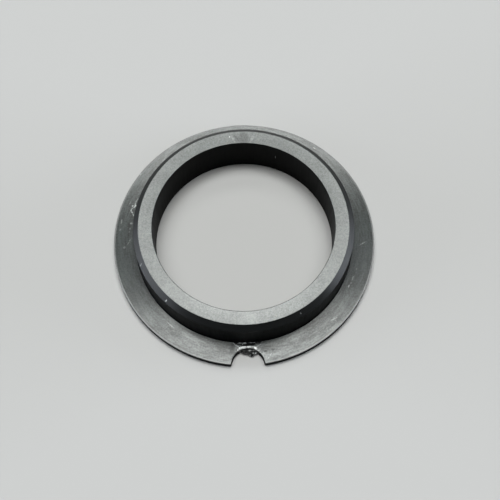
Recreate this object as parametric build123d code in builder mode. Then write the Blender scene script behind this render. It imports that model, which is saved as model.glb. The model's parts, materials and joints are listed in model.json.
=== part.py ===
from build123d import *
from math import radians, tan
import os

# Moulded plastic washer, in millimetres, made as one piece.
# A thin flange carries a short collar, and one plain bore runs through both.
# Frame: origin on the bore axis at the underside, +Z up the collar, gate notch towards -Y.

# Flange
FLANGE_RADIUS = 20.0
FLANGE_THICKNESS = 1.3
RIM_BREAK = 0.12  # both edges of the rim

# Collar: its outside is straight, with a lead-in round the top
COLLAR_RADIUS = 16.5
COLLAR_RISE = 5.6  # from the flange to the top face
COLLAR_CHAMFER = 0.85
FOOT_FILLET = 0.15  # where the collar grows out of the flange

# Bore: straight, with its upper edge just broken and its lower edge left sharp
BORE_RADIUS = 13.6
MOUTH_BREAK = 0.1

# Gate: the half-round notch in the rim keeps the broken gate inside the flange's outline
NOTCH_RADIUS = 2.55
SCOOP_RADIUS = 3.75  # shallow dished scoop between the notch and the collar, seen from above
SCOOP_DEPTH = 0.4
SCOOP_WALL_ANGLE = 45.0
SCOOP_DRAFT = 8.0  # lean of the scoop's wall below the collar, so that its core pulls out
RIDGE_WIDTH = 0.25  # what is left standing between the scoop and the notch

# Gate stub: what the broken gate left on the notch's wall.
# It is drawn in two views, each measured outwards from the deepest point of the notch.
STUB_ROOT = 0.3  # how far the stub runs back into the flange
STUB_PLAN = [  # (along X, outwards)
    (-1.0, 0.1),
    (-0.8, 0.5),
    (0.1, 0.75),
    (0.55, 1.15),
    (0.9, 0.85),
    (1.35, 0.7),
    (1.5, 0.3),
]
STUB_SIDE = [  # (outwards, above the underside)
    (1.2, 0.3),
    (1.1, 0.55),
    (0.7, 0.7),
    (0.45, 1.0),
    (0.1, 1.05),
]
STUB_UNDERSIDE = 0.2

height = FLANGE_THICKNESS + COLLAR_RISE
notch_depth_radius = FLANGE_RADIUS - NOTCH_RADIUS
scoop_reach = notch_depth_radius - RIDGE_WIDTH
scoop_centre = (0, SCOOP_RADIUS - scoop_reach)
scoop_floor = FLANGE_THICKNESS - SCOOP_DEPTH
scoop_wall_radius = COLLAR_RADIUS + FOOT_FILLET / 2
scoop_wall_lean = FLANGE_THICKNESS * tan(radians(SCOOP_DRAFT))
stub_root_y = STUB_ROOT - notch_depth_radius


# The scoop is a shallow cone that stops at the collar, where a drafted wall runs down to its floor.
# That wall starts half-way through the foot fillet, and the cutter reaches above the flange
# to clear the other half.
with BuildPart() as scoop_cutter:
    with BuildSketch(Plane.XY.offset(scoop_floor)):
        with Locations(scoop_centre):
            Circle(SCOOP_RADIUS - SCOOP_DEPTH)
    extrude(amount=SCOOP_DEPTH + 2 * FOOT_FILLET, taper=-SCOOP_WALL_ANGLE)
    Cone(
        bottom_radius=scoop_wall_radius + scoop_wall_lean,
        top_radius=scoop_wall_radius - scoop_wall_lean,
        height=2 * FLANGE_THICKNESS,
        align=(Align.CENTER, Align.CENTER, Align.MIN),
        mode=Mode.SUBTRACT,
    )


# The stub is the plan outline raised through the flange, cut to the side outline.
with BuildPart() as gate_stub:
    with BuildSketch():
        with BuildLine():
            Polyline(
                (STUB_PLAN[0][0], stub_root_y),
                *[(x, -notch_depth_radius - out) for x, out in STUB_PLAN],
                (STUB_PLAN[-1][0], stub_root_y),
                close=True,
            )
        make_face()
    extrude(amount=FLANGE_THICKNESS)
    with BuildSketch(Plane.YZ):
        with BuildLine():
            Polyline(
                (stub_root_y, STUB_UNDERSIDE),
                *[(-notch_depth_radius - out, z) for out, z in STUB_SIDE],
                (stub_root_y, STUB_SIDE[-1][1]),
                close=True,
            )
        make_face()
    extrude(amount=NOTCH_RADIUS, both=True, mode=Mode.INTERSECT)


with BuildPart() as washer:
    # Flange, collar and bore are one turned section, as the mould's own cavity is turned.
    with BuildSketch(Plane.XZ) as section:
        with BuildLine():
            Polyline(
                (BORE_RADIUS, 0),
                (FLANGE_RADIUS, 0),
                (FLANGE_RADIUS, FLANGE_THICKNESS),
                (COLLAR_RADIUS, FLANGE_THICKNESS),
                (COLLAR_RADIUS, height),
                (BORE_RADIUS, height),
                close=True,
            )
        make_face()
        rim_corners = section.vertices().group_by(Axis.X)[-1]
        chamfer(rim_corners, length=RIM_BREAK)
        foot_corner = section.vertices().group_by(Axis.X)[1].sort_by(Axis.Y)[0]
        fillet(foot_corner, radius=FOOT_FILLET)
        top_corners = section.vertices().group_by(Axis.Y)[-1].sort_by(Axis.X)
        chamfer(top_corners[-1], length=COLLAR_CHAMFER)
        chamfer(top_corners[0], length=MOUTH_BREAK)
    revolve(axis=Axis.Z)

    # Gate notch, centred on the rim and cut right through the flange.
    with BuildSketch():
        with Locations((0, -FLANGE_RADIUS)):
            Circle(NOTCH_RADIUS)
    extrude(amount=FLANGE_THICKNESS, mode=Mode.SUBTRACT)

    # Scoop on the flange's upper face, behind the notch.
    add(scoop_cutter.part, mode=Mode.SUBTRACT)

    # Gate stub, torn off short, on the notch's wall.
    add(gate_stub.part)

washer.part.label = "washer"

os.makedirs("parts", exist_ok=True)
export_step(washer.part, "parts/washer.step")

size = washer.part.bounding_box().size
print(f"washer: {size.X:.2f} x {size.Y:.2f} x {size.Z:.2f} mm, {washer.part.volume:.0f} mm3,"
      f" {len(washer.part.solids())} solid, {len(washer.part.faces())} faces")
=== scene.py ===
# %% [markdown]
# # A moulded plastic washer
# This lesson dresses one small moulding: a black plastic washer with a thin flange, a short collar
# and a half-round gate notch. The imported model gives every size, and this script gives the finish:
# true rounds on the edges, the torn gate, the marks that the mould left, and the scratches of use.

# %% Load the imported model
import json
from math import asin, atan2, cos, pi, radians, sin, tan

import bpy
from mathutils import Matrix, Vector


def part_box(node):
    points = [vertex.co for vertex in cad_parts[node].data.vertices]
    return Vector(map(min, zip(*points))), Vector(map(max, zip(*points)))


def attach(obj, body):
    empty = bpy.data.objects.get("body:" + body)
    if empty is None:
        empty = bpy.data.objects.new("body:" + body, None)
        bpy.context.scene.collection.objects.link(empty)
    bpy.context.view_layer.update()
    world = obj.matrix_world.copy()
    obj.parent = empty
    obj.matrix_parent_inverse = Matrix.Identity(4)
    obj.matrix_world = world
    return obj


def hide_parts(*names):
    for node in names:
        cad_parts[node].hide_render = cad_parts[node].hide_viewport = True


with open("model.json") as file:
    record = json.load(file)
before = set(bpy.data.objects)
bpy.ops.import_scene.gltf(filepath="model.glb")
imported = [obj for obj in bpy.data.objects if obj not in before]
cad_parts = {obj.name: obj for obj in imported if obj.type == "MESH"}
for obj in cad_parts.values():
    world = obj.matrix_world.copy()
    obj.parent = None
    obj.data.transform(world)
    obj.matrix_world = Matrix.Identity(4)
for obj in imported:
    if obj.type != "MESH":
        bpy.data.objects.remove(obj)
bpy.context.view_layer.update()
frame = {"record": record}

# %% [markdown]
# ## Sizes
# The mounts in the record hold the bore, the collar's outside and the faces, so the sizes are read
# from them. A size that no mount holds, such as the notch's radius, is named here.

# %% Sizes, in metres
MM = 0.001
mounts = {mount["name"]: mount for mount in frame["record"]["mounts"]}
high_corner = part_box("washer")[1]
rim_radius = high_corner.x
height = high_corner.z
bore_radius = mounts["bore"]["dims"]["r_mm"] * MM
collar_radius = mounts["collar_outside"]["dims"]["r_mm"] * MM
flange_top = mounts["flange_face"]["pos_m"][2]
collar_wall_half = mounts["collar_outside"]["dims"]["length_mm"] * MM / 2
collar_wall_middle = mounts["collar_outside"]["pos_m"][2]
foot_round = collar_wall_middle - collar_wall_half - flange_top
chamfer = height - collar_wall_middle - collar_wall_half
mouth_round = height - mounts["bore"]["dims"]["length_mm"] * MM
foot_radius = collar_radius + foot_round

RIM_ROUND = 0.05 * MM
RIM_LAND = 0.2 * MM  # a smoother band just inside the rim
EDGE_ROUND = 0.07 * MM  # on both edges of the chamfer
UNDER_ROUND = 0.03 * MM  # the bore's lower edge is all but sharp
NOTCH_RADIUS = 2.55 * MM
NOTCH_DRAFT = 0.12 * MM  # the notch is this much narrower at the underside
SCOOP_RADIUS = 3.75 * MM
SCOOP_DEPTH = 0.4 * MM
RIDGE_WIDTH = 0.25 * MM  # left standing between the scoop and the notch
TOP_SINK = 0.012 * MM  # thick plastic shrinks as it cools, and draws the top face down a little
notch_deepest = rim_radius - NOTCH_RADIUS
scoop_centre_y = SCOOP_RADIUS - (notch_deepest - RIDGE_WIDTH)
print(f"rim {rim_radius / MM:.2f}, height {height / MM:.2f}, chamfer {chamfer / MM:.2f} mm")

# %% [markdown]
# ## Helpers
# Node trees are long lists of nodes, settings and links, so one small function adds a node with all
# three. Another turns the hex colours that people write into the linear values that the shader needs.


# %% Node and colour helpers
def add(tree, kind, inputs=None, **settings):
    """Adds a node, gives it its settings, and sets or links its inputs by name or number."""
    node = tree.nodes.new(kind)
    for name, value in settings.items():
        setattr(node, name, value)
    for key, value in (inputs or {}).items():
        if isinstance(value, bpy.types.NodeSocket):
            tree.links.new(value, node.inputs[key])
        else:
            node.inputs[key].default_value = value
    return node


def linear(hex_colour):
    """The linear RGBA of an sRGB hex colour."""
    channels = [int(hex_colour[i : i + 2], 16) / 255 for i in (1, 3, 5)]
    return [c / 12.92 if c <= 0.04045 else ((c + 0.055) / 1.055) ** 2.4 for c in channels] + [1.0]


print("middle grey as light:", round(linear("#808080")[0], 3))

# %% [markdown]
# ## Camera
# The washer lies on a table and is seen from above and a little in front, with its gate notch
# towards the viewer. A long lens keeps the circles almost true. The place comes from a target near
# the middle of the washer, two angles and a distance.

# %% Camera
VIEW_RISE = radians(67.47)
VIEW_TURN = radians(-0.96)
VIEW_ROLL = radians(-0.98)
VIEW_DISTANCE = 141.31 * MM
VIEW_TARGET = Vector((0.87, -1.38, 0)) * MM
LENS = 65.84

view_back = Vector(
    (sin(VIEW_TURN) * cos(VIEW_RISE), -cos(VIEW_TURN) * cos(VIEW_RISE), sin(VIEW_RISE))
)
camera = bpy.data.objects.new("camera", bpy.data.cameras.new("camera"))
camera.data.lens = LENS
camera.data.clip_start = 1 * MM
camera.data.clip_end = 10
camera.matrix_world = (
    Matrix.Translation(VIEW_TARGET + view_back * VIEW_DISTANCE)
    @ view_back.to_track_quat("Z", "Y").to_matrix().to_4x4()
    @ Matrix.Rotation(VIEW_ROLL, 4, "Z")
)
bpy.context.scene.collection.objects.link(camera)
bpy.context.scene.camera = camera
print("camera at", [round(v / MM, 1) for v in camera.matrix_world.translation], "mm")

# %% [markdown]
# ## The turned section
# A mould for a round part is turned on a lathe, so the washer is one section swept round an axis.
# The section is drawn as corners, each with its own round. Every corner becomes an arc, and every
# face between two arcs gets a chosen number of rows, with one extra row close to each end. That row
# holds the smooth shading to the round, so that the flat stays flat.


# %% Draw the section
HOLD = 0.03 * MM  # from the end of a round to the row that holds the shading


def corner_arc(before, corner, after, radius, steps):
    """Points on the arc that rounds a corner, in order."""
    way_in = (corner - before).normalized()
    way_out = (after - corner).normalized()
    turn = atan2(way_in.cross(way_out), way_in.dot(way_out))
    start = corner - way_in * radius * tan(abs(turn) / 2)
    side = radius if turn > 0 else -radius
    centre = start + Vector((-way_in.y, way_in.x)) * side
    return [centre + Matrix.Rotation(turn * k / steps, 2) @ (start - centre) for k in range(steps + 1)]


def face_rows(start, end, rows, sag):
    """Points between two arcs: a row near each end, even rows between, and a slight hollow."""
    length = (end - start).length
    shares = [HOLD / length] + [k / rows for k in range(1, rows)] + [1 - HOLD / length]
    drop = Vector((0, -sag))
    return [start.lerp(end, s) + drop * 4 * s * (1 - s) for s in shares]


def draw_section(corners):
    """The closed outline, from (radius, height, round, arc steps, rows to the next corner, sag)."""
    spots = [Vector(c[:2]) for c in corners]
    count = len(corners)
    arcs = [
        corner_arc(spots[i - 1], spots[i], spots[(i + 1) % count], corners[i][2], corners[i][3])
        for i in range(count)
    ]
    outline = []
    for i in range(count):
        outline += arcs[i]
        outline += face_rows(arcs[i][-1], arcs[(i + 1) % count][0], corners[i][4], corners[i][5])
    return outline


section_points = draw_section(
    [
        (bore_radius, 0, UNDER_ROUND, 2, 10, 0),
        (rim_radius, 0, RIM_ROUND, 3, 26, 0),
        (rim_radius, flange_top, RIM_ROUND, 4, 40, 0),
        (collar_radius, flange_top, foot_round, 5, 8, 0),
        (collar_radius, height - chamfer, EDGE_ROUND, 3, 4, 0),
        (collar_radius - chamfer, height, EDGE_ROUND, 3, 12, TOP_SINK),
        (bore_radius, height, mouth_round, 4, 10, 0),
    ]
)
section = bpy.data.curves.new("section", "CURVE")
section.dimensions = "3D"
spline = section.splines.new("POLY")
spline.points.add(len(section_points) - 1)
for point, spot in zip(spline.points, reversed(section_points)):
    # The sweep lays a section's X outwards from the rim and its Y downwards, which mirrors it.
    # So the points run the other way round, and the washer's faces point outwards.
    point.co = (spot.x - rim_radius, -spot.y, 0, 1)
spline.use_cyclic_u = True
section_object = bpy.data.objects.new("section", section)
print("section points:", len(section_points))

# %% [markdown]
# ## What the plastic looks like
# The whole washer is one black plastic, and its finishes come from the mould. The top face was
# spark-eroded, so it is satin. The flange's face copies a turned plate, with fine rings that
# stretch every highlight across them. The walls are dull where the part slid out, and the broken
# gate is as glossy as torn plastic is. Each finish is a material of its own. They share a few
# functions, because they are one plastic, and because every scuff whitens black plastic. The
# specular level says how strongly a finish mirrors the room: least on the dull walls.

# %% One plastic, many finishes
PLASTIC_IOR = 1.5
SCUFF_AND_GLINT_WHITE = "#c4c7c6"  # black plastic that was scraped or bent until it crazed, and the painted glints at the gate and the scoop's edges
SCUFF_AND_GLINT_ROUGHNESS = 0.55
WELD_AND_SHADE_BLACK = "#0a0a0a"  # dark end of the painted shade on the flange, and of the weld on the top
WELD_AND_SHADE_ROUGHNESS = 0.65


def start_material(name, specular):
    """A new black plastic, and the object's own coordinates to draw on it with."""
    material = bpy.data.materials.new(name)
    material.use_nodes = True
    tree = material.node_tree
    tree.nodes.clear()
    gloss = {"IOR": PLASTIC_IOR, "Specular IOR Level": specular}
    shader = add(tree, "ShaderNodeBsdfPrincipled", gloss)
    add(tree, "ShaderNodeOutputMaterial", {"Surface": shader.outputs[0]})
    place = add(tree, "ShaderNodeTexCoord").outputs["Object"]
    return material, tree, shader, place


print("plastic: index of refraction", PLASTIC_IOR)

# %% [markdown]
# Ring marks follow the turning tool, so their noise is read at a place made from the way round the
# washer, which changes slowly, and the distance from its axis, which changes fast. A bare angle
# would jump where it passes from 360 back to 0 degrees, but the way from the axis has no such seam.


# %% Ring marks
def ring_noise(tree, place, along, across):
    """Noise that changes once in `along` round the washer and once in `across` outwards."""
    flat = add(tree, "ShaderNodeVectorMath", {0: place, 1: (1, 1, 0)}, operation="MULTIPLY").outputs[0]
    reach = add(tree, "ShaderNodeVectorMath", {0: flat}, operation="LENGTH").outputs["Value"]
    way = add(tree, "ShaderNodeVectorMath", {0: flat}, operation="NORMALIZE").outputs[0]
    slow = add(
        tree, "ShaderNodeVectorMath", {0: way, "Scale": collar_radius / along}, operation="SCALE"
    )
    fast = add(tree, "ShaderNodeMath", {0: reach, 1: 1 / across}, operation="MULTIPLY")
    outward = add(tree, "ShaderNodeCombineXYZ", {"Z": fast.outputs[0]})
    spot = add(
        tree, "ShaderNodeVectorMath", {0: slow.outputs[0], 1: outward.outputs[0]}, operation="ADD"
    )
    noise = add(tree, "ShaderNodeTexNoise", {"Vector": spot.outputs[0], "Scale": 1.0, "Detail": 3.0})
    return noise.outputs["Fac"]


# %% [markdown]
# Wear comes next, and the same kind of mark also paints a few glints and patches of shade. A mark
# is an oval with soft edges: a Mapping node moves and turns the surface so that the oval becomes a
# ball round the origin, and the distance from there fades the mark out. A little noise in the place
# makes every edge ragged. Marks lie where the real washer shows them.


# %% Marks of wear, painted glints and painted shade
MARK_GRAIN = 0.22 * MM  # size of the ragged bites in a mark's edge
MARK_HALF_DEPTH = 0.5  # in mm: a mark stays on its own face
MARK_FADE = (0.5, 1.2)  # from the middle of an oval, full strength ends and all strength ends
PATCH_NOISE = (0.36, 0.56)  # between these values of the noise, a mark goes from weak to strong
PATCH_STRENGTH = (0.35, 1.1)


def mark_field(tree, place, marks, ragged):
    """Strength of all marks: (x, y, z, turn, length, width, strength), in mm and degrees."""
    shake = add(
        tree, "ShaderNodeTexNoise", {"Vector": place, "Scale": 1 / MARK_GRAIN, "Detail": 2.0}
    )
    even = add(
        tree,
        "ShaderNodeVectorMath",
        {0: shake.outputs["Color"], 1: (0.5, 0.5, 0.5)},
        operation="SUBTRACT",
    )
    moved = add(
        tree, "ShaderNodeVectorMath", {0: even.outputs[0], "Scale": ragged}, operation="SCALE"
    )
    near = add(
        tree, "ShaderNodeVectorMath", {0: place, 1: moved.outputs[0]}, operation="ADD"
    ).outputs[0]
    field = None
    for x, y, z, turn, length, width, strength in marks:
        oval = add(
            tree,
            "ShaderNodeMapping",
            {
                "Vector": near,
                "Location": (x * MM, y * MM, z * MM),
                "Rotation": (0, 0, radians(turn)),
                "Scale": (length / 2 * MM, width / 2 * MM, MARK_HALF_DEPTH * MM),
            },
            vector_type="TEXTURE",
        )
        away = add(tree, "ShaderNodeVectorMath", {0: oval.outputs[0]}, operation="LENGTH")
        fade = add(
            tree,
            "ShaderNodeMapRange",
            {
                "Value": away.outputs["Value"],
                "From Min": MARK_FADE[0],
                "From Max": MARK_FADE[1],
                "To Min": strength,
                "To Max": 0.0,
            },
            interpolation_type="SMOOTHSTEP",
        ).outputs[0]
        if field:
            fade = add(tree, "ShaderNodeMath", {0: field, 1: fade}, operation="MAXIMUM").outputs[0]
        field = fade
    patchy = add(
        tree,
        "ShaderNodeMapRange",
        {
            "Value": shake.outputs["Fac"],
            "From Min": PATCH_NOISE[0],
            "From Max": PATCH_NOISE[1],
            "To Min": PATCH_STRENGTH[0],
            "To Max": PATCH_STRENGTH[1],
        },
    )
    worn = add(
        tree,
        "ShaderNodeMath",
        {0: field, 1: patchy.outputs[0]},
        operation="MULTIPLY",
        use_clamp=True,
    )
    return worn.outputs[0]


def dress(tree, shader, pattern, dark, light, marks, weld_or_painted_shade=None):
    """Spreads colour and roughness by a pattern, from a dark pair to a light one, then wears them."""
    # A Mix node's colours are its inputs 6 and 7 and its output 2. Its numbers are 2, 3 and 0.
    colour = add(
        tree,
        "ShaderNodeMix",
        {0: pattern, 6: linear(dark[0]), 7: linear(light[0])},
        data_type="RGBA",
    )
    gloss = add(tree, "ShaderNodeMix", {0: pattern, 2: dark[1], 3: light[1]})
    # on the flange this blend is painted shade; on the top it is the weld's darker tone
    if weld_or_painted_shade:
        colour = add(
            tree,
            "ShaderNodeMix",
            {0: weld_or_painted_shade, 6: colour.outputs[2], 7: linear(WELD_AND_SHADE_BLACK)},
            data_type="RGBA",
        )
        gloss = add(tree, "ShaderNodeMix", {0: weld_or_painted_shade, 2: gloss.outputs[0], 3: WELD_AND_SHADE_ROUGHNESS})
    # marks whiten for wear; at the gate and along the scoop's edges they are painted glints
    worn = add(
        tree,
        "ShaderNodeMix",
        {0: marks, 6: colour.outputs[2], 7: linear(SCUFF_AND_GLINT_WHITE)},
        data_type="RGBA",
    )
    dull = add(tree, "ShaderNodeMix", {0: marks, 2: gloss.outputs[0], 3: SCUFF_AND_GLINT_ROUGHNESS})
    tree.links.new(worn.outputs[2], shader.inputs["Base Color"])
    tree.links.new(dull.outputs[0], shader.inputs["Roughness"])


print("a mark runs out at", MARK_FADE[1], "times its half length")

# %% [markdown]
# The top face is satin all over. Opposite the gate, the two streams of plastic met and left a weld
# line: a faint dark wedge with paler flow streaks beside it. A few hairlines cross the face.

# %% Top face
SPARK_GRAIN = 0.20 * MM  # the real pebble is about a third of this, too fine to show
TOP_CLOUD = 2.6 * MM  # slow changes of gloss, as the mould face wears
CLOUD_SHARE = 0.32
PEBBLE_SPREAD = (0.42, 0.90)  # pebble and cloud together, from dark to light
PEBBLE_HEIGHT = 0.012 * MM
TOP_MARKS = [
    (-1.72, 14.76, 6.9, 80, 0.30, 0.20, 0.75),
    (-1.15, 14.35, 6.9, 118, 1.60, 0.45, 0.13),
    (1.75, 14.35, 6.9, 62, 1.50, 0.50, 0.13),
    (-2.08, 14.20, 6.9, 84, 1.10, 0.14, 0.08),
    (2.80, 14.20, 6.9, 30, 1.30, 0.35, 0.05),
    (14.45, -2.48, 6.9, -2, 2.20, 0.09, 0.16),
    (13.60, -4.40, 6.9, 38, 1.10, 0.09, 0.10),
    (-14.10, -1.10, 6.9, 4, 1.20, 0.12, 0.10),
    (-14.20, -2.20, 6.9, 12, 1.00, 0.12, 0.09),
]
WELD_SHADES = [
    (0.45, 14.55, 6.9, 90, 2.30, 1.70, 0.55),
    (-0.62, 14.48, 6.9, -56, 1.60, 0.30, 0.90),
]


def spark_eroded_top():
    """Satin top face: an even, very fine pebble that scatters every highlight."""
    material, tree, shader, place = start_material("black_plastic_spark_eroded_satin", specular=1.0)
    pebble = add(
        tree, "ShaderNodeTexNoise", {"Vector": place, "Scale": 1 / SPARK_GRAIN, "Detail": 3.0}
    ).outputs["Fac"]
    cloud = add(
        tree, "ShaderNodeTexNoise", {"Vector": place, "Scale": 1 / TOP_CLOUD, "Detail": 1.0}
    ).outputs["Fac"]
    both = add(
        tree, "ShaderNodeMath", {0: cloud, 1: CLOUD_SHARE, 2: pebble}, operation="MULTIPLY_ADD"
    ).outputs[0]
    pattern = add(
        tree,
        "ShaderNodeMapRange",
        {"Value": both, "From Min": PEBBLE_SPREAD[0], "From Max": PEBBLE_SPREAD[1]},
    )
    marks = mark_field(tree, place, TOP_MARKS, ragged=0.10 * MM)
    weld = mark_field(tree, place, WELD_SHADES, ragged=0.15 * MM)
    dress(tree, shader, pattern.outputs[0], ("#222625", 0.43), ("#565b59", 0.35), marks, weld)
    bump = add(tree, "ShaderNodeBump", {"Height": pebble, "Strength": 1.0, "Distance": PEBBLE_HEIGHT})
    tree.links.new(bump.outputs[0], shader.inputs["Normal"])
    return material


top_finish = spark_eroded_top()
print("top face:", top_finish.name)

# %% [markdown]
# The flange's face is the most worn. It has soft streaks along its rings, the whitened scrape at
# the left, and small marks wherever something hard touched it. Light marks along the scoop's edges
# whiten them and paint a highlight on them too, and dark patches beside the scoop and the notch are
# painted shade. The anisotropic setting stretches a highlight across the rings: the tangent runs
# round the washer, and a quarter turn points it outwards. That is why the flange is bright where
# its rings lie across the light, at the front and the back, and dark at both sides.

# %% Rings and marks of the flange
RING_STREAK = (2.4 * MM, 0.24 * MM)  # coarser than real tool rings, so that they show
RING_DASH = (1.0 * MM, 0.22 * MM)
RING_BLOTCH = (5.0 * MM, 1.1 * MM)
FLANGE_GRAIN = 0.26 * MM
FLANGE_SPREAD = (1.22, 1.78)  # dashes, grain and blotches together, from dark to light
RING_HEIGHT = 0.02 * MM
FLANGE_WEAR_AND_GLINTS = [
    (-16.50, 7.22, 1.3, 57, 0.50, 0.14, 0.40),
    (-16.68, 6.90, 1.3, 64, 0.50, 0.18, 0.45),
    (-16.80, 6.52, 1.3, 85, 0.35, 0.22, 0.60),
    (-16.82, 6.18, 1.3, 60, 0.42, 0.34, 0.95),
    (-17.22, 6.16, 1.3, 40, 0.34, 0.26, 0.80),
    (-16.98, 5.92, 1.3, 20, 0.34, 0.22, 0.60),
    (-17.24, 5.80, 1.3, 60, 0.36, 0.18, 0.55),
    (-17.42, 5.46, 1.3, 84, 0.60, 0.20, 0.70),
    (-17.27, 5.02, 1.3, 118, 0.46, 0.20, 0.75),
    (-17.09, 4.60, 1.3, 106, 0.50, 0.17, 0.65),
    (-17.61, 6.70, 1.3, 60, 0.70, 0.18, 0.16),
    (-17.35, 3.19, 1.3, 20, 0.45, 0.35, 0.45),
    (-18.91, 3.54, 1.3, 80, 0.90, 0.22, 0.35),
    (-19.06, 2.23, 1.3, 80, 0.45, 0.30, 0.20),
    (-18.38, -0.83, 1.3, 30, 0.50, 0.40, 0.22),
    (-17.62, 0.15, 1.3, 62, 1.30, 0.18, 0.28),
    (-17.56, 2.30, 1.3, 80, 0.40, 0.20, 0.22),
    (-17.66, 1.75, 1.3, 84, 0.30, 0.16, 0.18),
    (18.12, -1.45, 1.3, 31, 1.40, 0.18, 0.35),
    (15.51, -8.32, 1.3, 62, 0.60, 0.30, 0.40),
    (15.90, -7.82, 1.3, 62, 0.45, 0.22, 0.30),
    (16.25, -7.00, 1.3, 66, 1.10, 0.22, 0.28),
    (16.90, -5.60, 1.3, 70, 0.50, 0.20, 0.20),
    (18.94, -5.83, 1.3, 73, 0.40, 0.25, 0.35),
    (13.00, -13.40, 1.3, 20, 1.20, 0.14, 0.25),
    (13.10, -13.45, 1.3, 115, 0.90, 0.14, 0.20),
    (-11.30, -13.50, 1.3, -45, 1.70, 0.14, 0.18),
    (3.20, -18.75, 1.3, 56, 1.15, 0.20, 0.40),
    (11.71, 15.40, 1.3, -38, 0.55, 0.24, 0.55),
    (1.62, -17.75, 1.3, 50, 0.90, 0.50, 0.35),
    # these four whiten the scoop's edges and also paint the highlight along them
    (-1.95, -16.70, 1.3, -55, 0.75, 0.20, 0.55),
    (-1.50, -17.10, 1.3, -35, 0.75, 0.20, 0.60),
    (1.95, -16.85, 1.3, 55, 0.80, 0.18, 0.40),
    (1.50, -17.20, 1.3, 30, 0.70, 0.20, 0.40),
]
RIM_MARKS = [(-15.99, 11.67, 1.3, 54, 0.40, 0.25, 0.50)]
# painted shade: dark patches on the flange beside the scoop and the notch
FLANGE_PAINTED_SHADE = [
    (3.70, -17.80, 1.3, 0, 0.45, 0.40, 0.80),
    (2.63, -18.04, 1.3, 0, 0.45, 0.35, 0.90),
    (2.09, -18.17, 1.3, 0, 0.35, 0.30, 0.60),
    (-2.27, -16.90, 1.3, 80, 0.55, 0.40, 0.95),
    (-2.25, -17.45, 1.3, 75, 1.60, 0.80, 0.50),
    (-3.45, -17.22, 1.3, 12, 0.80, 0.30, 0.45),
]
print("flange marks:", len(FLANGE_WEAR_AND_GLINTS))

# %% Flange face and rim land
QUARTER_TURN = 0.25  # the socket counts whole turns


def stretch_across_rings(tree, shader, place, amount):
    """Stretches the highlight outwards, across rings that run round the washer."""
    flat = add(tree, "ShaderNodeVectorMath", {0: place, 1: (1, 1, 0)}, operation="MULTIPLY").outputs[0]
    way = add(tree, "ShaderNodeVectorMath", {0: flat}, operation="NORMALIZE").outputs[0]
    round_way = add(tree, "ShaderNodeVectorMath", {0: (0, 0, 1), 1: way}, operation="CROSS_PRODUCT")
    tree.links.new(round_way.outputs[0], shader.inputs["Tangent"])
    shader.inputs["Anisotropic"].default_value = amount
    shader.inputs["Anisotropic Rotation"].default_value = QUARTER_TURN


def turned_flange():
    """Flange face: the rings of a turned mould plate stretch every highlight across them."""
    material, tree, shader, place = start_material("black_plastic_turned_rings", specular=1.0)
    stretch_across_rings(tree, shader, place, amount=1.0)
    streaks = ring_noise(tree, place, *RING_STREAK)
    dashes = ring_noise(tree, place, *RING_DASH)
    blotches = ring_noise(tree, place, *RING_BLOTCH)
    grain = add(
        tree, "ShaderNodeTexNoise", {"Vector": place, "Scale": 1 / FLANGE_GRAIN, "Detail": 2.0}
    ).outputs["Fac"]
    fine = add(tree, "ShaderNodeMath", {0: dashes, 1: grain}, operation="ADD").outputs[0]
    every = add(tree, "ShaderNodeMath", {0: fine, 1: blotches}, operation="ADD").outputs[0]
    pattern = add(
        tree,
        "ShaderNodeMapRange",
        {"Value": every, "From Min": FLANGE_SPREAD[0], "From Max": FLANGE_SPREAD[1]},
    )
    marks = mark_field(tree, place, FLANGE_WEAR_AND_GLINTS, ragged=0.22 * MM)
    # painted shade beside the scoop and the notch
    weld_or_painted_shade = mark_field(tree, place, FLANGE_PAINTED_SHADE, ragged=0.20 * MM)
    dress(tree, shader, pattern.outputs[0], ("#040505", 0.41), ("#424847", 0.28), marks, weld_or_painted_shade)
    bump = add(tree, "ShaderNodeBump", {"Height": streaks, "Strength": 1.0, "Distance": RING_HEIGHT})
    tree.links.new(bump.outputs[0], shader.inputs["Normal"])
    return material


def satin_rim():
    """Rim land: a narrow band with fainter rings, so it shows as a fine light line at both sides."""
    material, tree, shader, place = start_material("black_plastic_satin_rim", specular=0.9)
    stretch_across_rings(tree, shader, place, amount=0.6)
    dashes = ring_noise(tree, place, *RING_DASH)
    marks = mark_field(tree, place, RIM_MARKS, ragged=0.15 * MM)
    dress(tree, shader, dashes, ("#2a2b2b", 0.42), ("#606161", 0.36), marks)
    return material


flange_finish = turned_flange()
rim_finish = satin_rim()
print("flange:", flange_finish.name, "and", rim_finish.name)

# %% [markdown]
# The chamfer is smoother than the walls, and it shows the room low down at both sides. The walls
# are dull and take almost no light. Three small nicks on the chamfer have whitened edges.

# %% Chamfer and walls
NICKS = [
    (-11.50, -11.45, 6.35, 40, 0.34, 0.26, 0.8),
    (-15.20, -5.80, 6.35, 66, 0.50, 0.16, 0.4),
    (7.75, -14.10, 6.35, -30, 0.24, 0.18, 0.35),
]
BORE_SPECK = [(5.33, 12.55, 4.0, 70, 0.30, 0.16, 0.35)]
DRAW_LINE = 0.3 * MM
DRAW_STRETCH = (1, 1, 0.08)  # draw marks run up and down, so the noise hardly changes with height


def polished_chamfer():
    """Lead-in round the collar: smoother than the faces, so it mirrors the room softly."""
    material, tree, shader, place = start_material("black_plastic_polished_lead_in", specular=0.09)
    streaks = ring_noise(tree, place, *RING_STREAK)
    marks = mark_field(tree, place, NICKS, ragged=0.12 * MM)
    dress(tree, shader, streaks, ("#0d0e0f", 0.36), ("#181919", 0.30), marks)
    return material


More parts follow.
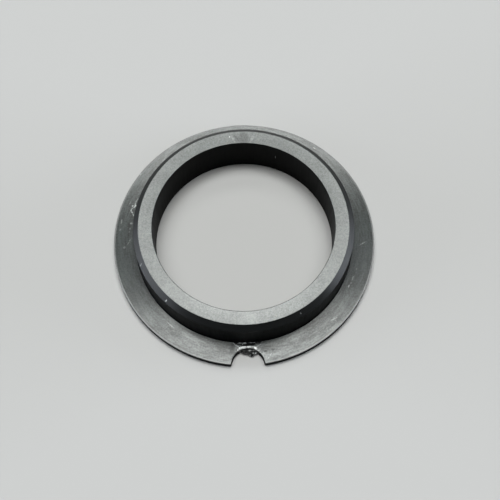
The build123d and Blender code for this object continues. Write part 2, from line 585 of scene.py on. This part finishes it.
def drawn_wall():
    """Bore, collar wall and underside: dull and deep black, as plastic is where it slid out."""
    material, tree, shader, place = start_material("black_plastic_dull_draw", specular=0.022)
    stretch = add(
        tree, "ShaderNodeVectorMath", {0: place, 1: DRAW_STRETCH}, operation="MULTIPLY"
    ).outputs[0]
    lines = add(
        tree, "ShaderNodeTexNoise", {"Vector": stretch, "Scale": 1 / DRAW_LINE, "Detail": 2.0}
    ).outputs["Fac"]
    marks = mark_field(tree, place, BORE_SPECK, ragged=0.10 * MM)
    dress(tree, shader, lines, ("#010101", 0.52), ("#060707", 0.36), marks)
    return material


chamfer_finish = polished_chamfer()
wall_finish = drawn_wall()
print("collar:", chamfer_finish.name, "and", wall_finish.name)

# %% [markdown]
# At the gate the plastic was torn while it was still warm. Its skin is glossy and lumpy, and it
# whitened where it stretched, on the crest of the thin ridge, which also carries a painted glint.
# The light flecks in the scoop and on the stub are painted glints.

# %% Torn gate
TEAR_LUMP = 0.3 * MM
TEAR_HEIGHT = 0.03 * MM
# painted glints: on the scoop's inner wall near the collar, and on the stub's torn face
GATE_PAINTED_GLINTS = [
    (-0.42, -16.70, 0.95, 0, 0.85, 0.32, 1.6),
    (-1.15, -16.60, 0.95, 3, 1.00, 0.18, 0.9),
    (0.90, -16.66, 0.95, -3, 2.20, 0.16, 0.8),
    (0.38, -17.75, 0.9, 0, 0.50, 0.26, 0.5),
    (0.82, -18.09, 0.7, 0, 0.26, 0.26, 0.9),
    (1.16, -18.10, 0.7, 30, 0.34, 0.26, 0.9),
    (0.27, -18.37, 0.6, 20, 0.50, 0.22, 0.45),
]


def torn_gate():
    """Scoop and gate stub: plastic that was torn while warm, glossy and uneven."""
    material, tree, shader, place = start_material("black_plastic_torn_gate", specular=0.5)
    lumps = add(
        tree, "ShaderNodeTexNoise", {"Vector": place, "Scale": 1 / TEAR_LUMP, "Detail": 2.0}
    ).outputs["Fac"]
    painted_glints = mark_field(tree, place, GATE_PAINTED_GLINTS, ragged=0.12 * MM)
    dress(tree, shader, lumps, ("#0c0c0c", 0.26), ("#202121", 0.14), painted_glints)
    bump = add(tree, "ShaderNodeBump", {"Height": lumps, "Strength": 1.0, "Distance": TEAR_HEIGHT})
    tree.links.new(bump.outputs[0], shader.inputs["Normal"])
    return material


gate_finish = torn_gate()
print("gate:", gate_finish.name)

# %% Whitened ridge, with a painted glint
RIDGE_BLACK = "#303131"
RIDGE_CRAZE_AND_GLINT_WHITE = "#e2e4e3"
RIDGE_ROUGHNESS = 0.25
RIDGE_LUMP_HEIGHT = 0.02 * MM
RIDGE_CRAZE_AND_GLINT_SPOTS = [
    # white spots: crazed plastic, and a painted glint along the crest
    (-1.06, -17.41, 1.3, 30, 0.60, 0.45, 1.0),
    (-0.52, -17.30, 1.3, 10, 1.00, 0.40, 1.0),
    (0.17, -17.26, 1.3, 0, 1.00, 0.34, 0.95),
    (0.65, -17.30, 1.3, -10, 0.60, 0.26, 0.6),
    (1.18, -17.47, 1.3, -30, 0.55, 0.45, 1.0),
]


def ridge_crazing_and_painted_glint():
    """Crest between scoop and notch: crazed where it was bent, and painted white as a glint too, so it
    is the palest place of all.
    """
    material, tree, shader, place = start_material("black_plastic_whitened_ridge_painted_glint", specular=1.0)
    shader.inputs["Roughness"].default_value = RIDGE_ROUGHNESS
    spots = mark_field(tree, place, RIDGE_CRAZE_AND_GLINT_SPOTS, ragged=0.08 * MM)
    white = add(
        tree,
        "ShaderNodeMix",
        {0: spots, 6: linear(RIDGE_BLACK), 7: linear(RIDGE_CRAZE_AND_GLINT_WHITE)},
        data_type="RGBA",
    )
    tree.links.new(white.outputs[2], shader.inputs["Base Color"])
    lumps = add(
        tree, "ShaderNodeTexNoise", {"Vector": place, "Scale": 1 / TEAR_LUMP, "Detail": 2.0}
    ).outputs["Fac"]
    bump = add(
        tree, "ShaderNodeBump", {"Height": lumps, "Strength": 1.0, "Distance": RIDGE_LUMP_HEIGHT}
    )
    tree.links.new(bump.outputs[0], shader.inputs["Normal"])
    return material


ridge_finish = ridge_crazing_and_painted_glint()
print("finishes:", [material.name for material in bpy.data.materials])

# %% [markdown]
# ## The washer, swept and then shaped
# One Geometry Nodes tree sweeps the section round the axis, and then moves the points of the sweep
# to make each form that isn't round. The forms could be cut with booleans, but a cut leaves long
# thin faces that catch the light. Here nothing is cut, so the mesh stays one closed skin with even
# faces. The gate needs many rings of points and the rest of the washer few, so the rings are
# crowded towards the gate, and one of them falls exactly on each corner of the notch.

# %% Rings of points round the axis
STEPS_ROUND = 560
CORNER_STEP = 74  # rings of points from the notch's middle to its corner
corner_turn = 2 * asin(NOTCH_RADIUS / 2 / rim_radius)
even_turn = 2 * pi * CORNER_STEP / STEPS_ROUND
crowding = (even_turn - corner_turn) / sin(even_turn)
print(f"crowding {crowding:.4f}: {2 * CORNER_STEP} rings cross the notch")

# %% [markdown]
# The tree takes its sizes through named inputs, so that it could make another washer of this kind.

# %% The tree and its inputs
CORNER_EDGE = 0.002 * MM  # the notch's form stops this far inside its corner, which stays sharp
STUB_RAGGED = 0.22 * MM
BURR_HEIGHT = 0.06 * MM
SIZES = {
    "Crowding": crowding,
    "Rim radius": rim_radius,
    "Foot radius": foot_radius,
    "Flange top": flange_top,
    "Notch radius": NOTCH_RADIUS,
    "Notch draft": NOTCH_DRAFT,
    "Notch half width": rim_radius * sin(corner_turn) - CORNER_EDGE,
    "Scoop radius": SCOOP_RADIUS,
    "Scoop depth": SCOOP_DEPTH,
    "Scoop centre": scoop_centre_y,
    "Stub ragged": STUB_RAGGED,
    "Burr height": BURR_HEIGHT,
}
tree = bpy.data.node_groups.new("turned_washer", "GeometryNodeTree")
kinds = {"Section": "NodeSocketObject", "Steps round": "NodeSocketInt"}
kinds.update({name: "NodeSocketFloat" for name in SIZES})
sockets = {
    name: tree.interface.new_socket(name, in_out="INPUT", socket_type=kind)
    for name, kind in kinds.items()
}
tree.interface.new_socket("Geometry", in_out="OUTPUT", socket_type="NodeSocketGeometry")
given = add(tree, "NodeGroupInput").outputs
print("tree inputs:", list(sockets))

# %% [markdown]
# Curve to Mesh lays the section at every point of a circle along the rim. Each later step asks where
# a point stands, how far it is from the axis and which way, so a few nodes measure that once.

# %% Sweep the section, and measure where each point stands
circle = add(
    tree,
    "GeometryNodeCurvePrimitiveCircle",
    {"Resolution": given["Steps round"], "Radius": given["Rim radius"]},
)
outline = add(tree, "GeometryNodeObjectInfo", {"Object": given["Section"]})
sweep = add(
    tree,
    "GeometryNodeCurveToMesh",
    {"Curve": circle.outputs["Curve"], "Profile Curve": outline.outputs["Geometry"]},
)
place = add(tree, "GeometryNodeInputPosition").outputs[0]
place_xyz = add(tree, "ShaderNodeSeparateXYZ", {0: place}).outputs
flat = add(tree, "ShaderNodeVectorMath", {0: place, 1: (1, 1, 0)}, operation="MULTIPLY").outputs[0]
reach = add(tree, "ShaderNodeVectorMath", {0: flat}, operation="LENGTH").outputs["Value"]
way = add(tree, "ShaderNodeVectorMath", {0: flat}, operation="NORMALIZE").outputs[0]
way_xyz = add(tree, "ShaderNodeSeparateXYZ", {0: way}).outputs
print("nodes for the sweep:", len(tree.nodes))

# %% [markdown]
# Every point is turned about the axis by an amount that goes with its X, so that the rings gather
# at the front, where the gate is.

# %% Crowd the rings towards the gate
turn = add(tree, "ShaderNodeMath", {0: way_xyz["X"], 1: given["Crowding"]}, operation="MULTIPLY")
crowded = add(
    tree,
    "ShaderNodeVectorRotate",
    {"Vector": place, "Angle": turn.outputs[0]},
    rotation_type="Z_AXIS",
    invert=True,
)
swept = add(
    tree, "GeometryNodeSetPosition", {"Geometry": sweep.outputs[0], "Position": crowded.outputs[0]}
)
print("nodes with the crowding:", len(tree.nodes))

# %% [markdown]
# The notch keeps the broken gate inside the rim, so that it can't hold the washer off its seat. On
# each ray from the axis, the rim is pulled in to where the ray meets the notch's circle. The pull
# fades out towards the collar. The circle is a little smaller low down, which is the draft that
# lets the mould open.

# %% Notch
on_rim = add(
    tree, "ShaderNodeVectorMath", {0: way, "Scale": given["Rim radius"]}, operation="SCALE"
).outputs[0]
on_rim_xyz = add(tree, "ShaderNodeSeparateXYZ", {0: on_rim}).outputs
side_squared = add(tree, "ShaderNodeMath", {0: on_rim_xyz["X"], 1: 2.0}, operation="POWER").outputs[0]
low_radius = add(
    tree, "ShaderNodeMath", {0: given["Notch radius"], 1: given["Notch draft"]}, operation="SUBTRACT"
).outputs[0]
notch_here = add(
    tree,
    "ShaderNodeMapRange",
    {
        "Value": place_xyz["Z"],
        "From Min": 0.0,
        "From Max": given["Flange top"],
        "To Min": low_radius,
        "To Max": given["Notch radius"],
    },
).outputs[0]
radius_squared = add(tree, "ShaderNodeMath", {0: notch_here, 1: 2.0}, operation="POWER").outputs[0]
left_over = add(
    tree, "ShaderNodeMath", {0: radius_squared, 1: side_squared}, operation="SUBTRACT"
).outputs[0]
half_chord = add(tree, "ShaderNodeMath", {0: left_over}, operation="SQRT").outputs[0]
meeting = add(tree, "ShaderNodeMath", {0: on_rim_xyz["Y"], 1: half_chord}, operation="ADD").outputs[0]
pull = add(tree, "ShaderNodeMath", {0: meeting, 1: given["Rim radius"]}, operation="ADD").outputs[0]
side = add(tree, "ShaderNodeMath", {0: on_rim_xyz["X"]}, operation="ABSOLUTE").outputs[0]
in_width = add(
    tree, "ShaderNodeMath", {0: side, 1: given["Notch half width"]}, operation="LESS_THAN"
).outputs[0]
in_front = add(tree, "ShaderNodeMath", {0: on_rim_xyz["Y"], 1: 0.0}, operation="LESS_THAN").outputs[0]
in_notch = add(tree, "ShaderNodeMath", {0: in_width, 1: in_front}, operation="MULTIPLY").outputs[0]
past_foot = add(
    tree,
    "ShaderNodeMapRange",
    {
        "Value": reach,
        "From Min": given["Foot radius"],
        "From Max": given["Rim radius"],
        "To Min": 0.0,
        "To Max": -1.0,
    },
).outputs[0]
share = add(tree, "ShaderNodeMath", {0: past_foot, 1: in_notch}, operation="MULTIPLY").outputs[0]
pull_in = add(tree, "ShaderNodeMath", {0: share, 1: pull}, operation="MULTIPLY").outputs[0]
pulled = add(tree, "ShaderNodeVectorMath", {0: way, "Scale": pull_in}, operation="SCALE").outputs[0]
notched = add(tree, "GeometryNodeSetPosition", {"Geometry": swept.outputs[0], "Offset": pulled})
print("nodes with the notch:", len(tree.nodes))

# %% [markdown]
# Behind the notch a shallow dish is scooped out of the flange, where the gate ran in. Its points are
# pressed down by their distance from the scoop's middle, and none of the collar's points are moved.

# %% Scoop
FACE_REACH = 0.14 * MM  # points this near the flange's top belong to its face
on_flange = add(
    tree,
    "FunctionNodeCompare",
    {0: place_xyz["Z"], 1: given["Flange top"], "Epsilon": FACE_REACH},
    operation="EQUAL",
).outputs[0]
scoop_centre = add(tree, "ShaderNodeCombineXYZ", {"Y": given["Scoop centre"]}).outputs[0]
from_scoop = add(
    tree, "ShaderNodeVectorMath", {0: flat, 1: scoop_centre}, operation="DISTANCE"
).outputs["Value"]
scoop_floor = add(
    tree, "ShaderNodeMath", {0: given["Scoop radius"], 1: given["Scoop depth"]}, operation="SUBTRACT"
).outputs[0]
dish = add(
    tree,
    "ShaderNodeMapRange",
    {
        "Value": from_scoop,
        "From Min": scoop_floor,
        "From Max": given["Scoop radius"],
        "To Min": given["Scoop depth"],
        "To Max": 0.0,
    },
).outputs[0]
past_wall = add(
    tree, "ShaderNodeMath", {0: reach, 1: collar_radius + foot_round / 2}, operation="GREATER_THAN"
).outputs[0]
press = add(tree, "ShaderNodeMath", {0: dish, 1: past_wall}, operation="MULTIPLY").outputs[0]
down = add(tree, "ShaderNodeMath", {0: press, 1: -1.0}, operation="MULTIPLY").outputs[0]
pressed = add(tree, "ShaderNodeCombineXYZ", {"Z": down}).outputs[0]
scooped = add(
    tree,
    "GeometryNodeSetPosition",
    {"Geometry": notched.outputs[0], "Selection": on_flange, "Offset": pressed},
)
print("nodes with the scoop:", len(tree.nodes))

# %% [markdown]
# The stub is what was left when the gate was broken off. It has one outline seen from above and one
# seen from the side, and it reaches out to the lesser of the two. Noise makes its face ragged, and
# the same noise makes the burr on the ridge uneven, because one tear made both.

# %% Outlines of the stub, in mm
STUB_PLAN = [(-1.0, 0.1), (-0.8, 0.5), (0.1, 0.75), (0.55, 1.15), (0.9, 0.85), (1.35, 0.7), (1.5, 0.3)]
STUB_SIDE = [(0.3, 1.2), (0.55, 1.1), (0.7, 0.7), (1.0, 0.45), (1.05, 0.1)]
STUB_REACH = 1.2
STUB_MIDDLE = (0.25 * MM, -notch_deepest, 0)
STUB_ZONE = 1.26 * MM  # round its middle, seen from above
STUB_HEIGHT = (0.63 * MM, 0.43 * MM)  # its middle, and half of the height that is drawn out
TEAR_GRAIN = 0.35 * MM


def outline_share(value, outline):
    """Share of the stub's reach that an outline gives at a place along it, with straight runs."""
    start, end = outline[0][0], outline[-1][0]
    along = add(
        tree, "ShaderNodeMapRange", {"Value": value, "From Min": start * MM, "From Max": end * MM}
    ).outputs[0]
    node = add(tree, "ShaderNodeFloatCurve", {"Value": along})
    points = [((x - start) / (end - start), out / STUB_REACH) for x, out in outline]
    curve = node.mapping.curves[0]
    curve.points[0].location = points[0]
    curve.points[1].location = points[-1]
    for x, y in points[1:-1]:
        curve.points.new(x, y)
    for point in curve.points:
        point.handle_type = "VECTOR"
    node.mapping.update()
    return node.outputs[0]


# %% Stub
ragged = add(
    tree, "ShaderNodeTexNoise", {"Vector": place, "Scale": 1 / TEAR_GRAIN, "Detail": 2.0}
).outputs["Fac"]
ragged_even = add(tree, "ShaderNodeMath", {0: ragged, 1: 0.5}, operation="SUBTRACT").outputs[0]
plan = outline_share(place_xyz["X"], STUB_PLAN)
profile = outline_share(place_xyz["Z"], STUB_SIDE)
outwards = add(tree, "ShaderNodeMath", {0: plan, 1: profile}, operation="MINIMUM").outputs[0]
stub_out = add(
    tree, "ShaderNodeMath", {0: outwards, 1: STUB_REACH * MM}, operation="MULTIPLY"
).outputs[0]
tear = add(
    tree, "ShaderNodeMath", {0: ragged_even, 1: given["Stub ragged"]}, operation="MULTIPLY"
).outputs[0]
torn_out = add(tree, "ShaderNodeMath", {0: stub_out, 1: tear}, operation="ADD").outputs[0]
torn_face = add(
    tree, "ShaderNodeMath", {0: -notch_deepest, 1: torn_out}, operation="SUBTRACT"
).outputs[0]
stub_y = add(tree, "ShaderNodeMath", {0: place_xyz["Y"], 1: torn_face}, operation="MINIMUM").outputs[0]
stub_place = add(
    tree, "ShaderNodeCombineXYZ", {"X": place_xyz["X"], "Y": stub_y, "Z": place_xyz["Z"]}
).outputs[0]
from_gate = add(
    tree, "ShaderNodeVectorMath", {0: flat, 1: STUB_MIDDLE}, operation="DISTANCE"
).outputs["Value"]
by_gate = add(
    tree, "FunctionNodeCompare", {0: from_gate, 1: STUB_ZONE}, operation="LESS_THAN"
).outputs[0]
on_wall_height = add(
    tree,
    "FunctionNodeCompare",
    {0: place_xyz["Z"], 1: STUB_HEIGHT[0], "Epsilon": STUB_HEIGHT[1]},
    operation="EQUAL",
).outputs[0]
on_wall = add(
    tree, "FunctionNodeBooleanMath", {0: by_gate, 1: on_wall_height}, operation="AND"
).outputs[0]
stubbed = add(
    tree,
    "GeometryNodeSetPosition",
    {"Geometry": scooped.outputs[0], "Selection": on_wall, "Position": stub_place},
)
print("nodes with the stub:", len(tree.nodes))

# %% [markdown]
# A thin ridge stands between the notch and the scoop. When the gate was torn, it was pulled up into
# a burr, which rises from the notch and faces the light.

# %% Burr on the ridge
BURR_RISE = (NOTCH_RADIUS + 0.02 * MM, NOTCH_RADIUS + 0.2 * MM)  # from its foot to its crest
BURR_ENDS = (1.2 * MM, 1.7 * MM)  # to each side, full height ends and the burr ends
BURR_LEAST = 0.3  # added to the noise, so that the burr never quite stops

from_notch = add(
    tree, "ShaderNodeVectorMath", {0: flat, 1: (0, -rim_radius, 0)}, operation="DISTANCE"
).outputs["Value"]
lip = add(
    tree,
    "ShaderNodeMapRange",
    {"Value": from_notch, "From Min": BURR_RISE[0], "From Max": BURR_RISE[1]},
    interpolation_type="SMOOTHSTEP",
).outputs[0]
ridge_side = add(tree, "ShaderNodeMath", {0: place_xyz["X"]}, operation="ABSOLUTE").outputs[0]
ridge_span = add(
    tree,
    "ShaderNodeMapRange",
    {
        "Value": ridge_side,
        "From Min": BURR_ENDS[0],
        "From Max": BURR_ENDS[1],
        "To Min": 1.0,
        "To Max": 0.0,
    },
).outputs[0]
ridge = add(tree, "ShaderNodeMath", {0: lip, 1: ridge_span}, operation="MULTIPLY").outputs[0]
uneven = add(tree, "ShaderNodeMath", {0: ragged, 1: BURR_LEAST}, operation="ADD").outputs[0]
burr_share = add(tree, "ShaderNodeMath", {0: ridge, 1: uneven}, operation="MULTIPLY").outputs[0]
burr = add(
    tree, "ShaderNodeMath", {0: burr_share, 1: given["Burr height"]}, operation="MULTIPLY"
).outputs[0]
raised = add(tree, "ShaderNodeCombineXYZ", {"Z": burr}).outputs[0]
burred = add(
    tree,
    "GeometryNodeSetPosition",
    {"Geometry": stubbed.outputs[0], "Selection": on_flange, "Offset": raised},
)
print("nodes with the burr:", len(tree.nodes))

# %% [markdown]
# Last, each zone gets its finish. The whole washer starts with the walls' finish, and each zone is
# then painted over it, so the order matters. A zone is found by height and by distance from the
# axis, the notch or the scoop, because that is how the mould's own faces are laid out.

# %% Zones
TOP_EDGE = 0.03 * MM
COLLAR_MIDDLE = (bore_radius + collar_radius) / 2
FOOT_EDGE = 0.02 * MM  # the foot's round keeps the walls' finish
GATE_ZONE = 1.5 * MM  # torn skin, round the stub's middle
RIDGE_HALF = 1.5 * MM  # whitened crest with a painted glint, to each side

is_top = add(
    tree, "FunctionNodeCompare", {0: place_xyz["Z"], 1: height - TOP_EDGE}, operation="GREATER_THAN"
).outputs[0]
is_slope = add(
    tree,
    "FunctionNodeCompare",
    {0: place_xyz["Z"], 1: height - chamfer / 2, "Epsilon": chamfer / 2},
    operation="EQUAL",
).outputs[0]
past_middle = add(
    tree, "FunctionNodeCompare", {0: reach, 1: COLLAR_MIDDLE}, operation="GREATER_THAN"
).outputs[0]
below_top = add(tree, "FunctionNodeBooleanMath", {0: is_top}, operation="NOT").outputs[0]
slope_outside = add(
    tree, "FunctionNodeBooleanMath", {0: is_slope, 1: past_middle}, operation="AND"
).outputs[0]
is_chamfer = add(
    tree, "FunctionNodeBooleanMath", {0: slope_outside, 1: below_top}, operation="AND"
).outputs[0]
past_wall_face = add(
    tree, "FunctionNodeCompare", {0: reach, 1: foot_radius - FOOT_EDGE}, operation="GREATER_THAN"
).outputs[0]
is_flange = add(
    tree, "FunctionNodeBooleanMath", {0: on_flange, 1: past_wall_face}, operation="AND"
).outputs[0]
past_land = add(
    tree, "FunctionNodeCompare", {0: reach, 1: rim_radius - RIM_LAND}, operation="GREATER_THAN"
).outputs[0]
is_rim = add(tree, "FunctionNodeBooleanMath", {0: on_flange, 1: past_land}, operation="AND").outputs[0]
near_stub = add(
    tree, "FunctionNodeCompare", {0: from_gate, 1: GATE_ZONE}, operation="LESS_THAN"
).outputs[0]
in_scoop = add(
    tree, "FunctionNodeCompare", {0: from_scoop, 1: given["Scoop radius"]}, operation="LESS_THAN"
).outputs[0]
torn_place = add(
    tree, "FunctionNodeBooleanMath", {0: near_stub, 1: in_scoop}, operation="OR"
).outputs[0]
below_flange = add(
    tree, "FunctionNodeCompare", {0: place_xyz["Z"], 1: flange_top - FOOT_EDGE}, operation="LESS_THAN"
).outputs[0]
gate_low = add(
    tree, "FunctionNodeBooleanMath", {0: torn_place, 1: below_flange}, operation="AND"
).outputs[0]
past_collar = add(
    tree, "FunctionNodeCompare", {0: reach, 1: collar_radius}, operation="GREATER_THAN"
).outputs[0]
is_gate = add(
    tree, "FunctionNodeBooleanMath", {0: gate_low, 1: past_collar}, operation="AND"
).outputs[0]
on_crest = add(
    tree,
    "FunctionNodeCompare",
    {0: from_notch, 1: NOTCH_RADIUS + RIDGE_WIDTH / 2, "Epsilon": RIDGE_WIDTH},
    operation="EQUAL",
).outputs[0]
on_ridge_span = add(
    tree, "FunctionNodeCompare", {0: ridge_side, 1: RIDGE_HALF}, operation="LESS_THAN"
).outputs[0]
crest_span = add(
    tree, "FunctionNodeBooleanMath", {0: on_crest, 1: on_ridge_span}, operation="AND"
).outputs[0]
is_ridge = add(
    tree, "FunctionNodeBooleanMath", {0: crest_span, 1: is_flange}, operation="AND"
).outputs[0]
print("nodes with the zones:", len(tree.nodes))

# %% Give each zone its finish
ZONES = [
    (is_top, top_finish),
    (is_chamfer, chamfer_finish),
    (is_flange, flange_finish),
    (is_rim, rim_finish),
    (is_gate, gate_finish),
    (is_ridge, ridge_finish),
]
smooth = add(tree, "GeometryNodeSetShadeSmooth", {"Geometry": burred.outputs[0], "Shade Smooth": True})
real = add(tree, "GeometryNodeRealizeInstances", {"Geometry": smooth.outputs[0]})
finished = add(tree, "GeometryNodeSetMaterial", {"Geometry": real.outputs[0], "Material": wall_finish})
for zone, finish in ZONES:
    finished = add(
        tree,
        "GeometryNodeSetMaterial",
        {"Geometry": finished.outputs[0], "Selection": zone, "Material": finish},
    )
add(tree, "NodeGroupOutput", {0: finished.outputs[0]})
print("nodes in all:", len(tree.nodes))

# %% [markdown]
# The tree's inputs are set on the modifier by each socket's identifier. The evaluated result is
# then copied to a plain mesh, and the modifier goes, so that nothing live is left.


# %% Make the washer
def make_washer():
    """Runs the tree and returns the washer as a plain mesh object."""
    host = bpy.data.objects.new("washer_tree", bpy.data.meshes.new("washer_tree"))
    bpy.context.scene.collection.objects.link(host)
    modifier = host.modifiers.new("turned_washer", "NODES")
    modifier.node_group = tree
    modifier[sockets["Section"].identifier] = section_object
    modifier[sockets["Steps round"].identifier] = STEPS_ROUND
    for name, value in SIZES.items():
        modifier[sockets[name].identifier] = value
    evaluated = host.evaluated_get(bpy.context.evaluated_depsgraph_get())
    mesh = bpy.data.meshes.new_from_object(evaluated)
    mesh.name = "moulded_washer"
    bpy.data.objects.remove(host)
    piece = bpy.data.objects.new("moulded_washer", mesh)
    bpy.context.scene.collection.objects.link(piece)
    return piece


washer = make_washer()
washer.data.calc_loop_triangles()
print("washer:", len(washer.data.loop_triangles), "triangles,", len(washer.data.materials), "finishes")

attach(washer, "root")
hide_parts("washer")

# %% [markdown]
# ## Floor and light
# Black plastic shows almost nothing of its own colour: what the eye reads is the room in it. So the
# lights are plain soft panels, and they hang where a room has its ceiling and its windows: a strong
# one overhead that leans to the back and gives both faces their sheen, a wide weaker one round it,
# a soft one behind, and a low cool one at each side for the chamfer and the walls. None stands
# towards the viewer, which keeps the front walls black. The washer lies on a plain pale board, and
# a pale cloth hangs round the board, so that a low view ends in something plain too.

# %% Floor and backdrop, in metres
FLOOR_COLOUR = "#bbbaba"
BACKDROP_COLOUR = "#dadcdb"
FLOOR_HALF = 0.55
FLOOR_HEIGHT = -0.02 * MM
BACKDROP_RADIUS = 2.65
BACKDROP_FOOT = -0.4
BACKDROP_HEIGHT = 0.8
BACKDROP_SIDES = 48
BOARD_ROUGHNESS = 0.9


def add_stage(name, corners, faces, material):
    """Adds a piece of the studio, which isn't part of the washer."""
    mesh = bpy.data.meshes.new(name)
    mesh.from_pydata(corners, [], faces)
    mesh.materials.append(material)
    piece = bpy.data.objects.new(name, mesh)
    bpy.context.scene.collection.objects.link(piece)


board = bpy.data.materials.new("matt_painted_board")
board.use_nodes = True
paint = board.node_tree.nodes["Principled BSDF"]
paint.inputs["Base Color"].default_value = linear(FLOOR_COLOUR)
paint.inputs["Roughness"].default_value = BOARD_ROUGHNESS
floor_corners = [
    (x * FLOOR_HALF, y * FLOOR_HALF, FLOOR_HEIGHT) for x, y in ((-1, -1), (1, -1), (1, 1), (-1, 1))
]
add_stage("floor", floor_corners, [(0, 1, 2, 3)], board)

# %% Backdrop: the eye and gloss see its pale tone, and it throws no light on the washer
cloth = bpy.data.materials.new("pale_backdrop_cloth")
cloth.use_nodes = True
cloth.node_tree.nodes.clear()
ray = add(cloth.node_tree, "ShaderNodeLightPath").outputs
seen = add(
    cloth.node_tree,
    "ShaderNodeMath",
    {0: ray["Is Camera Ray"], 1: ray["Is Glossy Ray"]},
    operation="ADD",
)
shown = add(
    cloth.node_tree,
    "ShaderNodeMath",
    {0: seen.outputs[0], 1: ray["Is Transmission Ray"]},
    operation="ADD",
)
glow = add(
    cloth.node_tree,
    "ShaderNodeEmission",
    {"Color": linear(BACKDROP_COLOUR), "Strength": shown.outputs[0]},
)
add(cloth.node_tree, "ShaderNodeOutputMaterial", {"Surface": glow.outputs[0]})
ring = [2 * pi * k / BACKDROP_SIDES for k in range(BACKDROP_SIDES)]
backdrop_corners = [
    (BACKDROP_RADIUS * cos(angle), BACKDROP_RADIUS * sin(angle), level)
    for level in (BACKDROP_FOOT, BACKDROP_HEIGHT)
    for angle in ring
]
backdrop_faces = [
    (k, (k + 1) % BACKDROP_SIDES, (k + 1) % BACKDROP_SIDES + BACKDROP_SIDES, k + BACKDROP_SIDES)
    for k in range(BACKDROP_SIDES)
]
add_stage("backdrop", backdrop_corners, backdrop_faces, cloth)

# %% Lamps
LAMP_DISTANCE = 2.2
# name: (turn from the front, rise, width, height, radiance, colour), in degrees from the washer
LAMPS = {
    "key_panel": (180, 77, 19, 11.5, 19.5, "#fcfffc"),
    "ceiling_panel": (180, 86, 50, 11.5, 11.0, "#fcfffc"),
    "back_panel": (-177, 57, 28, 11.5, 4.5, "#fcfffc"),
    "left_panel": (-85, 5, 60, 9.5, 25.0, "#e6edf6"),
    "right_panel": (92, 5, 46, 9.5, 29.0, "#e6edf6"),
}


def hang_lamp(name, turn, rise, wide, tall, radiance, colour):
    """Hangs a soft rectangular lamp on a sphere round the washer, facing its middle."""
    lamp = bpy.data.lights.new(name, "AREA")
    lamp.shape = "RECTANGLE"
    lamp.size = 2 * LAMP_DISTANCE * tan(radians(wide / 2))
    lamp.size_y = 2 * LAMP_DISTANCE * tan(radians(tall / 2))
    lamp.energy = radiance * pi * lamp.size * lamp.size_y
    lamp.color = linear(colour)[:3]
    holder = bpy.data.objects.new(name, lamp)
    holder.visible_camera = False
    turn, rise = radians(turn), radians(rise)
    away = Vector((sin(turn) * cos(rise), -cos(turn) * cos(rise), sin(rise)))
    holder.matrix_world = (
        Matrix.Translation(away * LAMP_DISTANCE) @ away.to_track_quat("Z", "Y").to_matrix().to_4x4()
    )
    bpy.context.scene.collection.objects.link(holder)
    print(f"{name}: {lamp.size:.2f} x {lamp.size_y:.2f} m, {lamp.energy:.0f} W")


for name, values in LAMPS.items():
    hang_lamp(name, *values)

# %% World
WORLD_COLOUR = "#8c9094"
WORLD_STRENGTH = 0.02
world = bpy.data.worlds.new("studio")
world.use_nodes = True
world.node_tree.nodes["Background"].inputs["Color"].default_value = linear(WORLD_COLOUR)
world.node_tree.nodes["Background"].inputs["Strength"].default_value = WORLD_STRENGTH
bpy.context.scene.world = world
bpy.context.scene.view_settings.view_transform = "Standard"
print("world strength:", WORLD_STRENGTH)
